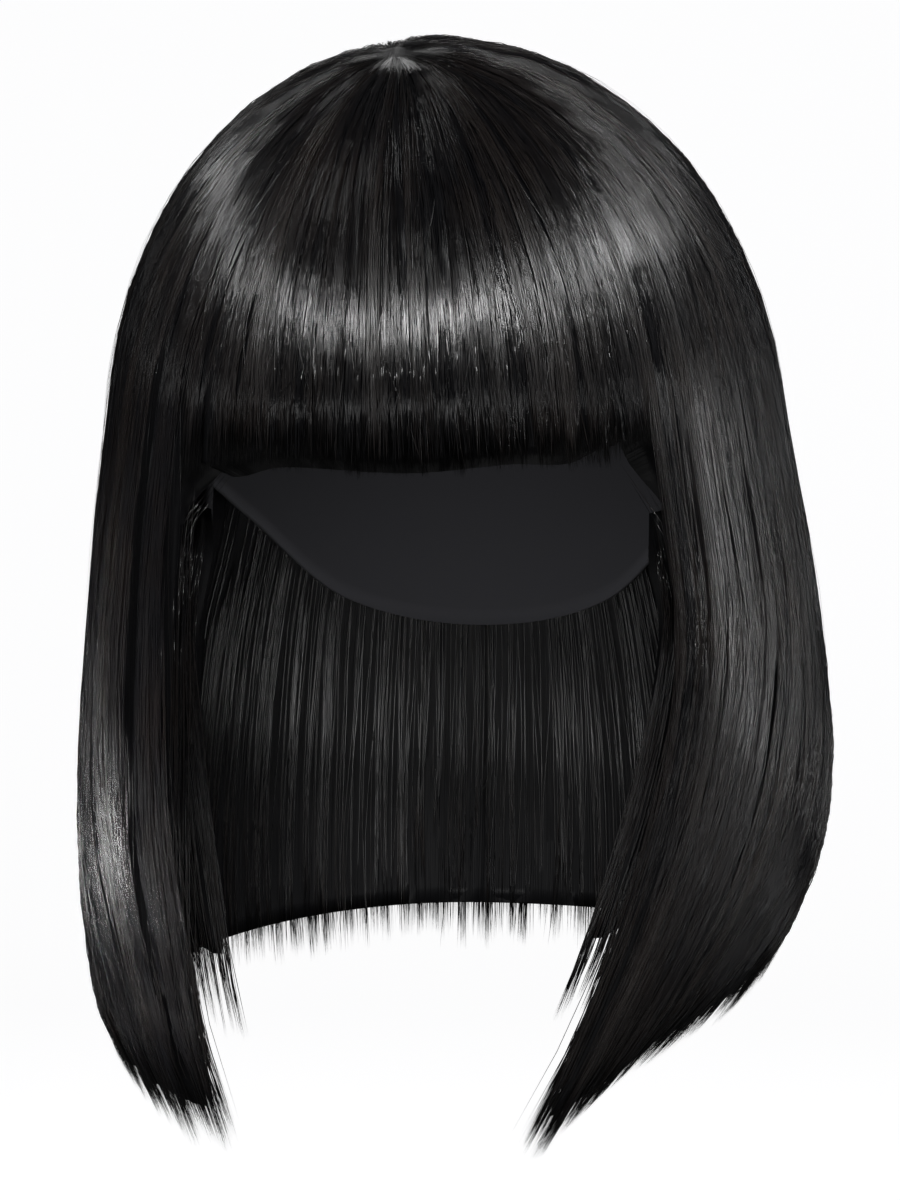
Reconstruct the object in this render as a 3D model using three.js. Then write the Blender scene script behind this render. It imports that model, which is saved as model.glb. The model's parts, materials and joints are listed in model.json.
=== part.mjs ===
// A straight black bob wig with a blunt fringe, held up as a head wears it.
// Millimetres, +Z up, -Y is the front, and +X is the wearer's left, on the right as seen from the front.
// The origin is the inside top of the cap, where the crown of a head sits.

import * as THREE from 'three';

// The head that the cap fits
const HEAD_HALF_WIDTH = 76;
const HEAD_HALF_LENGTH = 95;
const HEAD_WIDEST_DEPTH = 92;     // from the top of the head down to its widest line
const NECK_NARROWING = 0.24;      // share of the width lost between the widest line and the tips
const NECK_SETBACK = 15;          // how far back the neck lies at the depth of the tips

// The cap
const CAP_WALL = 1.5;
const CAP_RIM_DEPTH = 160;        // lowest point of the rim, at the nape

// The hair's body, outside the head
const CROWN_BODY = 26.5;
const SIDE_BODY = 39;
const FRINGE_BODY = 11;
const BACK_BODY = 19;
const HAIR_SETBACK = 8;           // the hair's centre line lies this far behind the head's
const HAIR_WIDEST_DEPTH = 84;     // where the crown ends and the hair falls straight

// Lengths, from the top of the head down to each hem
const FRINGE_HEM = 98;
const BACK_HEM = 262;
const TIP_HEM = 301;

// Parting, locks and clearances
const PARTING_DEPTH = 2.6;
const PARTING_HUMP = 0.8;
const LOCK_RELIEF = 1.3;
const LOCK_TIP = 6.5;             // how far the middle of a lock can reach below its edges
const FRINGE_RAGGED = 0.25;       // the fringe's share of LOCK_TIP, as it is cut blunt
const SEAM_GAP = 0.6;             // between neighbouring pieces of hair
const LINING_GAP = 0.7;           // between the cap and the hair over it
const ROOT_GAP = 0.3;             // between the cap and the roots of the inner layers
const INNER_WALL = 7;             // thickness of the short inner layers

// A strand runs from the whorl, at 0, to the depth of the longest tip, at 1, and leaves the crown at CROWN_END.
const CROWN_END = 0.45;
const WHORL_RADIUS = 0.034;       // station where the whorl piece ends and the panels begin
const WHORL_RIGHT = -0.10;        // the whorl's place, as shares of the hair's side and front reach
const WHORL_FORWARD = 0.27;
const SWEEP_START = 0.60;
const SWEEP_CURVE = 1.2;          // above 1, the sweep and the tuck come in late
const TUCK_START = 0.70;
const TUCK_CURVE = 2.4;
const FRINGE_LEFT = -40;          // angles in degrees from the front, towards +X
const FRINGE_RIGHT = 43;
const SIDE_END = 112;
const PARTING_HALF = 2;           // degrees either side of the middle of the back
const HUMP_START = 4;
const HUMP_END = 40;
const PARTING_END = 0.8;          // share of the crown over which the parting fades out
const INNER_ROOT = 0.50;          // station where the inner layers start
const INNER_DEPTH = 0.8;          // how near an inner layer may come to the inside of the curtain
const INNER_ROOM = 0.8;           // share of its room to the head that an inner layer may fill
const INNER_TIP = 0.4;            // share of INNER_WALL left at its hem
const EDGE_ANGLE = 64;            // the curtain thins from here to its front edge
const EDGE_THINNING = 0.74;
const EDGE_FALL = 0.53;           // station where that thinning is complete
const HALF_TURN = 180;

// Rows and columns of the faceted surfaces
const CROWN_ROWS = 9;
const FRINGE_ROWS = 2;
const FALL_ROWS = 10;
const CAP_COLUMNS = 36;
const CAP_ROWS = 12;
const WHORL_COLUMNS = 24;
const INNER_COLUMNS = 12;
const INNER_ROWS = 10;
const FRINGE_LOCKS = 11;
const SIDE_LOCKS = 7;
const BACK_LOCKS = 6;

const SIDE_REACH = HEAD_HALF_WIDTH + SIDE_BODY;
const FRONT_REACH = HEAD_HALF_LENGTH + FRINGE_BODY + HAIR_SETBACK;
const BACK_REACH = HEAD_HALF_LENGTH + BACK_BODY - HAIR_SETBACK;

// Stations to a millimetre, over the crown and down the fall
const CROWN_STATION = CROWN_END / (SIDE_REACH * Math.PI / 2);
const FALL_STATION = (1 - CROWN_END) / (TIP_HEM - HAIR_WIDEST_DEPTH);

// Horizontal sections down a strand, as shares of SIDE_REACH, FRONT_REACH and BACK_REACH.
// lean moves a section along X, and lining says how far the inside has left the head for the outside.
const sections = [
  { at: 0.00, side: 0.885, front: 1.020, back: 1.000, lean: -0.042, lining: 0.00 },
  { at: 0.18, side: 0.858, front: 1.004, back: 1.000, lean: -0.034, lining: 0.00 },
  { at: 0.36, side: 0.868, front: 1.000, back: 1.000, lean: -0.020, lining: 0.00 },
  { at: 0.45, side: 0.888, front: 1.000, back: 1.000, lean: -0.014, lining: 0.04 },
  { at: 0.54, side: 0.937, front: 0.945, back: 0.990, lean: -0.004, lining: 0.36 },
  { at: 0.63, side: 0.976, front: 0.880, back: 0.955, lean: 0.004, lining: 0.62 },
  { at: 0.72, side: 0.999, front: 0.820, back: 0.915, lean: 0.006, lining: 0.72 },
  { at: 0.81, side: 1.000, front: 0.770, back: 0.880, lean: 0.002, lining: 0.78 },
  { at: 0.90, side: 0.965, front: 0.725, back: 0.850, lean: 0.000, lining: 0.84 },
  { at: 0.95, side: 0.912, front: 0.705, back: 0.835, lean: 0.000, lining: 0.88 },
  { at: 1.00, side: 0.825, front: 0.690, back: 0.820, lean: 0.000, lining: 0.91 },
];

// The curtain's hem round the head. length goes from BACK_HEM at 0 to TIP_HEM at 1,
// sweep is how far the ends turn forward in degrees, and tuck how far they draw in.
const curtain = [
  { at: -180, length: 0.00, sweep: 0, tuck: 0.06 },
  { at: -150, length: 0.08, sweep: 0, tuck: 0.05 },
  { at: -120, length: 0.31, sweep: 2, tuck: 0.02 },
  { at: -100, length: 0.59, sweep: 4, tuck: 0.00 },
  { at: -80, length: 0.82, sweep: 6, tuck: 0.00 },
  { at: -60, length: 0.95, sweep: 6, tuck: 0.00 },
  { at: -40, length: 1.00, sweep: 3, tuck: 0.00 },
  { at: 43, length: 1.00, sweep: 26, tuck: 0.03 },
  { at: 60, length: 0.84, sweep: 31, tuck: 0.20 },
  { at: 80, length: 0.50, sweep: 35, tuck: 0.42 },
  { at: 100, length: 0.18, sweep: 33, tuck: 0.46 },
  { at: 120, length: 0.06, sweep: 26, tuck: 0.40 },
  { at: 150, length: 0.01, sweep: 10, tuck: 0.15 },
  { at: 180, length: 0.00, sweep: 0, tuck: 0.06 },
];

// The fringe's hem, as shares of FRINGE_HEM.
const fringe = [
  { at: -40, length: 1.045 },
  { at: -28, length: 1.002 },
  { at: 0, length: 1.010 },
  { at: 20, length: 0.982 },
  { at: 32, length: 0.985 },
  { at: 43, length: 0.932 },
];

// The fringe's inside leaves the head lower down, over the brow.
const fringeLining = [
  { at: 0.00, lining: 0.00 },
  { at: 0.36, lining: 0.02 },
  { at: 0.44, lining: 0.22 },
  { at: 0.50, lining: 0.52 },
  { at: 0.60, lining: 0.60 },
];

// The cap's rim from the front to the nape, as shares of CAP_RIM_DEPTH: brow, ear tab, ear notch and nape.
const rim = [
  { at: 0, depth: 0.31 },
  { at: 30, depth: 0.34 },
  { at: 52, depth: 0.50 },
  { at: 70, depth: 0.76 },
  { at: 92, depth: 0.68 },
  { at: 115, depth: 0.76 },
  { at: 145, depth: 0.94 },
  { at: 180, depth: 1.00 },
];

// Short inner layers. from and to are angles at the root, down is the station of the hem, forward the sweep of
// the ends in degrees, and layer their place between the head, at 0, and the outside, at 1.
const innerLayers = [
  { name: 'inner_left', from: -108, to: -53, down: 0.914, shorter: 0.030, forward: 14, layer: 0.45 },
  { name: 'inner_right', from: 52, to: 92, down: 0.895, shorter: 0.060, forward: 35, layer: 0.38 },
];

const radians = THREE.MathUtils.degToRad;

// The smooth curve through one column of a table whose rows stand at rising places.
function follow(rows, column, at) {
  const last = rows.length - 1;
  const place = THREE.MathUtils.clamp(at, rows[0].at, rows[last].at);
  let low = 0;
  while (low < last - 1 && rows[low + 1].at < place) {
    low += 1;
  }
  const high = low + 1;
  const slope = (index) => {
    if (index === 0 || index === last) {
      return 0;
    }
    const rise = rows[index + 1][column] - rows[index - 1][column];
    return rise / (rows[index + 1].at - rows[index - 1].at);
  };
  const span = rows[high].at - rows[low].at;
  const s = (place - rows[low].at) / span;
  const rise = s * s * (3 - 2 * s);
  const leave = s * (1 - s) * (1 - s) * span * slope(low);
  const arrive = s * s * (1 - s) * span * slope(high);
  return rows[low][column] * (1 - rise) + rows[high][column] * rise + leave - arrive;
}

// The angle from straight up that a station of the crown stands at.
function tilt(station) {
  return Math.min(station / CROWN_END, 1) * Math.PI / 2;
}

// How far a station lies down the fall below the crown, from 0 to 1.
function fall(station) {
  return Math.max(station - CROWN_END, 0) / (1 - CROWN_END);
}

// The station where something that falls from widest to the tips reaches a depth.
function stationAtDepth(depth, widest) {
  if (depth < widest) {
    return CROWN_END * Math.acos(1 - depth / widest) / (Math.PI / 2);
  }
  return CROWN_END + (1 - CROWN_END) * (depth - widest) / (TIP_HEM - widest);
}

// A point on the head, or offset from it: a half ellipsoid over a column that narrows towards the neck.
function headPoint(angle, station, offset) {
  const lean = tilt(station);
  const down = fall(station);
  const width = (HEAD_HALF_WIDTH + offset) * Math.sin(lean) * (1 - NECK_NARROWING * down);
  const length = (HEAD_HALF_LENGTH + offset) * Math.sin(lean) * (1 - NECK_NARROWING * down);
  const height = offset - (HEAD_WIDEST_DEPTH + offset) * (1 - Math.cos(lean));
  return new THREE.Vector3(
    width * Math.sin(angle),
    NECK_SETBACK * down - length * Math.cos(angle),
    height - (TIP_HEM - HEAD_WIDEST_DEPTH) * down,
  );
}

// A point on the outside of the hair, where relief stands proud of it.
function hairPoint(angle, station, relief) {
  const lean = tilt(station);
  const spread = Math.sin(lean);
  const reach = Math.cos(angle) > 0
    ? FRONT_REACH * follow(sections, 'front', station)
    : BACK_REACH * follow(sections, 'back', station);
  const side = SIDE_REACH * follow(sections, 'side', station);
  const height = CROWN_BODY - (CROWN_BODY + HAIR_WIDEST_DEPTH) * (1 - Math.cos(lean));
  return new THREE.Vector3(
    SIDE_REACH * follow(sections, 'lean', station) + (side + relief) * spread * Math.sin(angle),
    HAIR_SETBACK - (reach + relief) * spread * Math.cos(angle),
    height + relief * Math.cos(lean) - (TIP_HEM - HAIR_WIDEST_DEPTH) * fall(station),
  );
}

// Where a strand that starts at the whorl in one direction has got to: its angle and station about the crown.
function course(degrees, station, sweep) {
  const spread = Math.sin(tilt(station));
  const angle = radians(degrees);
  const right = spread * Math.sin(angle) + WHORL_RIGHT * (1 - spread);
  const forward = spread * Math.cos(angle) + WHORL_FORWARD * (1 - spread);
  const away = Math.min(Math.hypot(right, forward), 1);
  const turned = Math.max(station - SWEEP_START, 0) / (1 - SWEEP_START);
  const crownStation = CROWN_END * Math.asin(away) / (Math.PI / 2);
  return {
    angle: Math.atan2(right, forward) - Math.sign(degrees) * radians(sweep) * turned ** SWEEP_CURVE,
    station: station < CROWN_END ? crownStation : station,
  };
}

// A point of a strand. layer is 0 on the head's side, at a gap from the cap, and 1 on the outside.
function strandPoint(degrees, station, layer, { relief = 0, sweep = 0, tuck = 0, gap = LINING_GAP } = {}) {
  const place = course(degrees, station, sweep);
  const inside = headPoint(place.angle, place.station, CAP_WALL + gap);
  const outside = hairPoint(place.angle, place.station, relief);
  const drawn = 1 - tuck * (Math.max(station - TUCK_START, 0) / (1 - TUCK_START)) ** TUCK_CURVE;
  outside.x *= drawn;
  outside.y = HAIR_SETBACK + (outside.y - HAIR_SETBACK) * drawn;
  return inside.lerp(outside, layer);
}

// How proud the outside stands at a strand: locks with grooves between them, and the parting behind the whorl.
function reliefAt(degrees, station, lockShare) {
  const grown = Math.min(station / CROWN_END, 1);
  const groove = lockShare === 0 ? -LOCK_RELIEF * grown : 0;
  const behind = HALF_TURN - Math.abs(degrees);
  const fades = Math.max(1 - station / (PARTING_END * CROWN_END), 0);
  const parting = behind < PARTING_HALF ? -PARTING_DEPTH : 0;
  const hump = degrees > 0 && behind > HUMP_START && behind < HUMP_END ? PARTING_HUMP : 0;
  return groove + (parting + hump) * Math.sqrt(fades);
}

// A number from 0 to 1 that differs from lock to lock and is the same each time.
function uneven(lock) {
  const spacing = 12.9898;
  const scale = 43758.5453;
  const wave = Math.sin(lock * spacing) * scale;
  return wave - Math.floor(wave);
}

// Joins an outer and an inner grid of points, of columns by rows, into one closed body. Its side walls are split
// along the same diagonals on both sides, so that neighbours with a common edge lie face to face.
function shell(outer, inner) {
  const columns = outer.length;
  const rows = outer[0].length;
  const positions = [];
  for (const grid of [outer, inner]) {
    for (const column of grid) {
      for (const point of column) {
        positions.push(point.x, point.y, point.z);
      }
    }
  }
  const out = (column, row) => column * rows + row;
  const into = (index) => index + columns * rows;
  const faces = [];
  for (let column = 0; column < columns - 1; column += 1) {
    for (let row = 0; row < rows - 1; row += 1) {
      const a = out(column, row);
      const b = out(column, row + 1);
      const c = out(column + 1, row + 1);
      const d = out(column + 1, row);
      faces.push(a, b, c, a, c, d);
      faces.push(into(a), into(c), into(b), into(a), into(d), into(c));
    }
  }
  const border = [];
  for (let row = 0; row < rows - 1; row += 1) {
    border.push(out(0, row));
  }
  for (let column = 0; column < columns - 1; column += 1) {
    border.push(out(column, rows - 1));
  }
  for (let row = rows - 1; row > 0; row -= 1) {
    border.push(out(columns - 1, row));
  }
  for (let column = columns - 1; column > 0; column -= 1) {
    border.push(out(column, 0));
  }
  border.forEach((from, index) => {
    const to = border[(index + 1) % border.length];
    if (to > from) {
      faces.push(to, from, into(from), to, into(from), into(to));
    } else {
      faces.push(to, from, into(to), from, into(from), into(to));
    }
  });
  return solid(positions, faces);
}

// Joins an outer and an inner bowl, each a list of rings below one top point, into one closed body.
function bowl(outer, inner) {
  const around = outer.rings[0].length;
  const rows = outer.rings.length;
  const positions = [];
  for (const side of [outer, inner]) {
    positions.push(side.top.x, side.top.y, side.top.z);
    for (const ring of side.rings) {
      for (const point of ring) {
        positions.push(point.x, point.y, point.z);
      }
    }
  }
  const half = 1 + rows * around;
  const at = (ring, step) => 1 + ring * around + (step % around);
  const faces = [];
  for (let step = 0; step < around; step += 1) {
    faces.push(0, at(0, step), at(0, step + 1));
    faces.push(half, half + at(0, step + 1), half + at(0, step));
    for (let ring = 0; ring < rows - 1; ring += 1) {
      const a = at(ring, step);
      const b = at(ring + 1, step);
      const c = at(ring + 1, step + 1);
      const d = at(ring, step + 1);
      faces.push(a, b, c, a, c, d);
      faces.push(half + a, half + c, half + b, half + a, half + d, half + c);
    }
    const from = at(rows - 1, step);
    const to = at(rows - 1, step + 1);
    faces.push(to, from, half + from, to, half + from, half + to);
  }
  return solid(positions, faces);
}

function solid(positions, faces) {
  const geometry = new THREE.BufferGeometry();
  geometry.setAttribute('position', new THREE.Float32BufferAttribute(positions, 3));
  geometry.setIndex(faces);
  geometry.computeVertexNormals();
  return geometry;
}

function hairMesh(name, geometry) {
  const mesh = new THREE.Mesh(
    geometry,
    new THREE.MeshStandardMaterial({ color: 0x121214, roughness: 0.34, metalness: 0 }),
  );
  mesh.name = name;
  return mesh;
}

// The stretch cap: one thin wall whose rim is high over the brow and low at the ear tabs and the nape.
function capMesh() {
  const side = (offset) => {
    const rings = [];
    for (let ring = 1; ring <= CAP_ROWS; ring += 1) {
      const points = [];
      for (let step = 0; step < CAP_COLUMNS; step += 1) {
        const angle = (step / CAP_COLUMNS) * 2 * Math.PI - Math.PI;
        const rimDepth = CAP_RIM_DEPTH * follow(rim, 'depth', Math.abs(THREE.MathUtils.radToDeg(angle)));
        const end = stationAtDepth(rimDepth, HEAD_WIDEST_DEPTH);
        points.push(headPoint(angle, (end * ring) / CAP_ROWS, offset));
      }
      rings.push(points);
    }
    return { top: new THREE.Vector3(0, 0, offset), rings };
  };
  const mesh = new THREE.Mesh(
    bowl(side(CAP_WALL), side(0)),
    new THREE.MeshStandardMaterial({ color: 0x18181a, roughness: 0.9, metalness: 0 }),
  );
  mesh.name = 'cap';
  return mesh;
}

// The tuft in the middle of the whorl, which closes the crown where all the panels meet.
function whorlMesh() {
  const end = WHORL_RADIUS - SEAM_GAP * CROWN_STATION;
  const side = (layer) => {
    const rings = [];
    for (const share of [0.5, 1]) {
      const points = [];
      for (let step = 0; step < WHORL_COLUMNS; step += 1) {
        const degrees = (step / WHORL_COLUMNS) * 2 * HALF_TURN - HALF_TURN;
        points.push(strandPoint(degrees, end * share, layer));
      }
      rings.push(points);
    }
    return { top: strandPoint(0, 0, layer), rings };
  };
  return hairMesh('whorl', bowl(side(1), side(0)));
}

// One panel of hair, from the whorl to its hem, between two angles. Each lock has three columns:
// its groove and the two edges of its flat.
function panelMesh(panel) {
  const shares = [0, 1 / 3, 2 / 3];
  const outer = [];
  const inner = [];
  const columns = panel.locks * shares.length;
  for (let column = 0; column <= columns; column += 1) {
    const lock = Math.floor(column / shares.length);
    const share = shares[column % shares.length];
    const degrees = panel.from + (panel.to - panel.from) * (lock + share) / panel.locks;
    const edge = (column === 0 ? 1 : 0) - (column === columns ? 1 : 0);
    const hem = panel.hemAt(degrees);
    const thinning = THREE.MathUtils.smoothstep(EDGE_ANGLE - Math.abs(degrees), 0, EDGE_ANGLE - FRINGE_RIGHT);
    const tip = share === 0 ? -LOCK_TIP : LOCK_TIP * (uneven(panel.from + column) - 0.5);
    const end = hem.station + tip * panel.ragged * FALL_STATION;
    const outerColumn = [];
    const innerColumn = [];
    for (let row = 0; row <= CROWN_ROWS + panel.fallRows; row += 1) {
      const station = row <= CROWN_ROWS
        ? THREE.MathUtils.lerp(WHORL_RADIUS, CROWN_END, row / CROWN_ROWS)
        : THREE.MathUtils.lerp(CROWN_END, end, (row - CROWN_ROWS) / panel.fallRows);
      const spread = Math.sin(tilt(station));
      const shifted = degrees + THREE.MathUtils.radToDeg(edge * SEAM_GAP / 2 / (spread * SIDE_REACH));
      const open = EDGE_THINNING * thinning * THREE.MathUtils.smoothstep(station, CROWN_END, EDGE_FALL);
      const lining = THREE.MathUtils.lerp(follow(panel.lining, 'lining', station), 1, open);
      const relief = reliefAt(degrees, station, share);
      outerColumn.push(strandPoint(shifted, station, 1, { ...hem.bend, relief }));
      innerColumn.push(strandPoint(shifted, station, lining, hem.bend));
    }
    outer.push(outerColumn);
    inner.push(innerColumn);
  }
  return hairMesh(panel.name, shell(outer, inner));
}

function fringeHem(degrees) {
  const depth = FRINGE_HEM * follow(fringe, 'length', degrees);
  return { station: stationAtDepth(depth, HAIR_WIDEST_DEPTH), bend: {} };
}

function curtainHem(degrees) {
  const depth = BACK_HEM + (TIP_HEM - BACK_HEM) * follow(curtain, 'length', degrees);
  return {
    station: stationAtDepth(depth, HAIR_WIDEST_DEPTH),
    bend: { sweep: follow(curtain, 'sweep', degrees), tuck: follow(curtain, 'tuck', degrees) },
  };
}

// A short layer that starts against the cap behind a side panel and shows past its front edge.
function innerMesh(spec) {
  const outer = [];
  const inner = [];
  for (let column = 0; column <= INNER_COLUMNS; column += 1) {
    const across = column / INNER_COLUMNS;
    const degrees = THREE.MathUtils.lerp(spec.from, spec.to, across);
    const back = spec.from > 0 ? across : 1 - across;
    const comb = column % 2 === 0 ? 0 : LOCK_TIP * FALL_STATION;
    const end = spec.down - spec.shorter * back + comb;
    const bend = { sweep: spec.forward, tuck: curtainHem(degrees).bend.tuck };
    const outerColumn = [];
    const innerColumn = [];
    for (let row = 0; row <= INNER_ROWS; row += 1) {
      const down = row / INNER_ROWS;
      const station = THREE.MathUtils.lerp(INNER_ROOT, end, down);
      const layer = Math.min(follow(sections, 'lining', station) * INNER_DEPTH, spec.layer);
      const face = strandPoint(degrees, station, layer, bend);
      const root = strandPoint(degrees, station, 0, { ...bend, gap: ROOT_GAP });
      const room = face.distanceTo(root);
      const thin = INNER_WALL * THREE.MathUtils.lerp(1, INNER_TIP, down);
      const wall = row === 0 ? room : Math.min(thin, room * INNER_ROOM);
      outerColumn.push(face);
      innerColumn.push(face.clone().lerp(root, wall / room));
    }
    outer.push(outerColumn);
    inner.push(innerColumn);
  }
  return hairMesh(spec.name, shell(outer, inner));
}

const panels = [
  { name: 'fringe', from: FRINGE_LEFT, to: FRINGE_RIGHT, locks: FRINGE_LOCKS },
  { name: 'side_right', from: FRINGE_RIGHT, to: SIDE_END, locks: SIDE_LOCKS },
  { name: 'back_right', from: SIDE_END, to: HALF_TURN, locks: BACK_LOCKS },
  { name: 'back_left', from: -HALF_TURN, to: -SIDE_END, locks: BACK_LOCKS },
  { name: 'side_left', from: -SIDE_END, to: FRINGE_LEFT, locks: SIDE_LOCKS },
];
const fringeCut = { fallRows: FRINGE_ROWS, ragged: FRINGE_RAGGED, hemAt: fringeHem, lining: fringeLining };
const curtainCut = { fallRows: FALL_ROWS, ragged: 1, hemAt: curtainHem, lining: sections };

const wig = new THREE.Group();
wig.add(capMesh(), whorlMesh());
for (const panel of panels) {
  wig.add(panelMesh({ ...panel, ...(panel.name === 'fringe' ? fringeCut : curtainCut) }));
}
for (const spec of innerLayers) {
  wig.add(innerMesh(spec));
}

export default wig;
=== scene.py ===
"""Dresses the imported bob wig: combed strands over fine bodies of hair, a sewn stretch cap, and a pale studio.

Every length is in metres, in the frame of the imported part: +Z up, -Y the front, the origin at the inside top of the
cap. A strand is a path over the wig. It starts near the whorl, follows the crown and falls to its hem.
"""

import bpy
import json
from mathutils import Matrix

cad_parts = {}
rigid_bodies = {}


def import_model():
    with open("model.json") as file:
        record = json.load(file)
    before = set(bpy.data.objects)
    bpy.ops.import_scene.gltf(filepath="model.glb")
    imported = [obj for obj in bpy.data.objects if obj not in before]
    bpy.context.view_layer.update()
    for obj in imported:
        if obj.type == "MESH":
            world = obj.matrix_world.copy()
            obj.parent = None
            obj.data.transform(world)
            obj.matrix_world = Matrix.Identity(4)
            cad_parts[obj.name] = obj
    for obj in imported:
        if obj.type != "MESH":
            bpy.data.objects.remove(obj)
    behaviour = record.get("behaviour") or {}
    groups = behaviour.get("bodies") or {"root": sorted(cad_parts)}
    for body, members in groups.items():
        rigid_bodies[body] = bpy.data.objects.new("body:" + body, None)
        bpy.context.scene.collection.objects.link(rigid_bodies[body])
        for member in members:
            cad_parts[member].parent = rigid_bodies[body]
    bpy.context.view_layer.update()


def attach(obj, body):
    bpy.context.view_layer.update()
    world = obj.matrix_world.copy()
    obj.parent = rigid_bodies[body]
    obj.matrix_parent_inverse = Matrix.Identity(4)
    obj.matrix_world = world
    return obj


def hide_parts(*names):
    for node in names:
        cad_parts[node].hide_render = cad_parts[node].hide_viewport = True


bl_info = {
    "name": "Bob wig",
    "version": (1, 0, 0),
    "blender": (4, 5, 0),
    "location": "3D View > Sidebar > Wig",
    "description": "Combs strands over a bob wig and sets it in a pale studio",
    "category": "Object",
}

import json
import math

import bpy
import numpy as np
from bpy.props import FloatProperty, FloatVectorProperty, IntProperty, PointerProperty
from mathutils import Vector

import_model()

# The head, the cap and the hair's body, as the part's source has them
HEAD_HALF_WIDTH = 0.076
HEAD_HALF_LENGTH = 0.095
HEAD_WIDEST_DEPTH = 0.092
NECK_NARROWING = 0.24
NECK_SETBACK = 0.015
CAP_WALL = 0.0015
CAP_RIM_DEPTH = 0.160
CROWN_BODY = 0.0265
SIDE_BODY = 0.039
FRINGE_BODY = 0.011
BACK_BODY = 0.019
HAIR_SETBACK = 0.008
HAIR_WIDEST_DEPTH = 0.084
FRINGE_HEM = 0.098
BACK_HEM = 0.262
TIP_HEM = 0.301
PARTING_DEPTH = 0.0026
PARTING_HUMP = 0.0008
LINING_GAP = 0.0007
ROOT_GAP = 0.0003
INNER_WALL = 0.007

# Stations run from the whorl, at 0, to the longest tip, at 1. The crown ends at CROWN_END.
CROWN_END = 0.45
WHORL_RADIUS = 0.034
WHORL_RIGHT = -0.10
WHORL_FORWARD = 0.27
SWEEP_START = 0.60
SWEEP_CURVE = 1.2
TUCK_START = 0.70
TUCK_CURVE = 2.4
EDGE_ANGLE = 64
EDGE_THINNING = 0.74
EDGE_FALL = 0.53
INNER_ROOT = 0.50
INNER_DEPTH = 0.8
INNER_ROOM = 0.8
INNER_TIP = 0.4
PARTING_END = 0.8
HALF_TURN = 180

# How the strands lie: their turn at the whorl, and the left curtain's swing forward near the chin, in degrees
WHORL_TURN = 14
WHORL_FADE = 0.05
SWING = 9
SWING_EDGE = 40
SWING_AT_EDGE = 0.6
SWING_START = 0.73
SWING_STOP = 0.90
SWING_SHIFT = 0.016
EDGE_PUSH = 0.011
EDGE_EASE = 0.004
CLOSER_ROWS = 1.7
FLATTENED = 0.6

# The bodies under the strands overlap by this many degrees. Maps are in metres along the surface.
SEAM_OVERLAP = 0.5
MAP_PER_DEGREE = 0.00192
MAP_PER_STATION = 0.39
CAP_MAP_PER_RADIAN = 0.085
CAP_MAP_PER_STATION = 0.38

# How far single strands are from the fibres' roughness
GLOSSIER = 0.06
DULLER = 0.17

SIDE_REACH = HEAD_HALF_WIDTH + SIDE_BODY
FRONT_REACH = HEAD_HALF_LENGTH + FRINGE_BODY + HAIR_SETBACK
BACK_REACH = HEAD_HALF_LENGTH + BACK_BODY - HAIR_SETBACK
FALL_STATION = (1 - CROWN_END) / (TIP_HEM - HAIR_WIDEST_DEPTH)


def table(columns, *rows):
    """A table with named columns, each a row of numbers."""
    return dict(zip(columns.split(), np.array(rows, float).T))


# Horizontal sections down a strand, as shares of the reaches
SECTIONS = table(
    "at side front back lean lining",
    (0.00, 0.885, 1.020, 1.000, -0.042, 0.00),
    (0.18, 0.858, 1.004, 1.000, -0.034, 0.00),
    (0.36, 0.868, 1.000, 1.000, -0.020, 0.00),
    (0.45, 0.888, 1.000, 1.000, -0.014, 0.04),
    (0.54, 0.937, 0.945, 0.990, -0.004, 0.36),
    (0.63, 0.976, 0.880, 0.955, 0.004, 0.62),
    (0.72, 0.999, 0.820, 0.915, 0.006, 0.72),
    (0.81, 1.000, 0.770, 0.880, 0.002, 0.78),
    (0.90, 0.965, 0.725, 0.850, 0.000, 0.84),
    (0.95, 0.912, 0.705, 0.835, 0.000, 0.88),
    (1.00, 0.825, 0.690, 0.820, 0.000, 0.91),
)
# The curtain's hem: length from BACK_HEM to TIP_HEM, sweep forward in degrees, and tuck inwards
CURTAIN = table(
    "at length sweep tuck",
    (-180, 0.00, 0, 0.06),
    (-150, 0.08, 0, 0.05),
    (-120, 0.31, 2, 0.02),
    (-100, 0.59, 4, 0.00),
    (-80, 0.82, 6, 0.00),
    (-60, 0.95, 6, 0.00),
    (-40, 1.00, 3, 0.00),
    (43, 1.00, 26, 0.03),
    (60, 0.84, 31, 0.20),
    (80, 0.50, 35, 0.42),
    (100, 0.18, 33, 0.46),
    (120, 0.06, 26, 0.40),
    (150, 0.01, 10, 0.15),
    (180, 0.00, 0, 0.06),
)
FRINGE = table("at length", (-40, 1.045), (-28, 1.002), (0, 1.010), (20, 0.982), (32, 0.985), (43, 0.932))
FRINGE_LINING = table("at lining", (0.00, 0.00), (0.36, 0.02), (0.44, 0.22), (0.50, 0.52), (0.60, 0.60))
RIM = table(
    "at depth",
    (0, 0.31),
    (30, 0.34),
    (52, 0.50),
    (70, 0.76),
    (92, 0.68),
    (115, 0.76),
    (145, 0.94),
    (180, 1.00),
)
# Panels of hair between two angles from the front, and how many broad locks each has
PANELS = {
    "fringe": {"start": -40, "end": 43, "locks": 11},
    "side_right": {"start": 43, "end": 112, "locks": 7, "shift": 0.5},
    "back_right": {"start": 112, "end": 180, "locks": 6},
    "back_left": {"start": -180, "end": -112, "locks": 6},
    "side_left": {"start": -112, "end": -40, "locks": 7},
}
INNER_LAYERS = {
    "inner_left": {"start": -108, "end": -53, "down": 0.914, "shorter": 0.030, "forward": 14, "layer": 0.45},
    "inner_right": {"start": 52, "end": 92, "down": 0.895, "shorter": 0.060, "forward": 35, "layer": 0.38},
}


# The wig's shape


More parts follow.
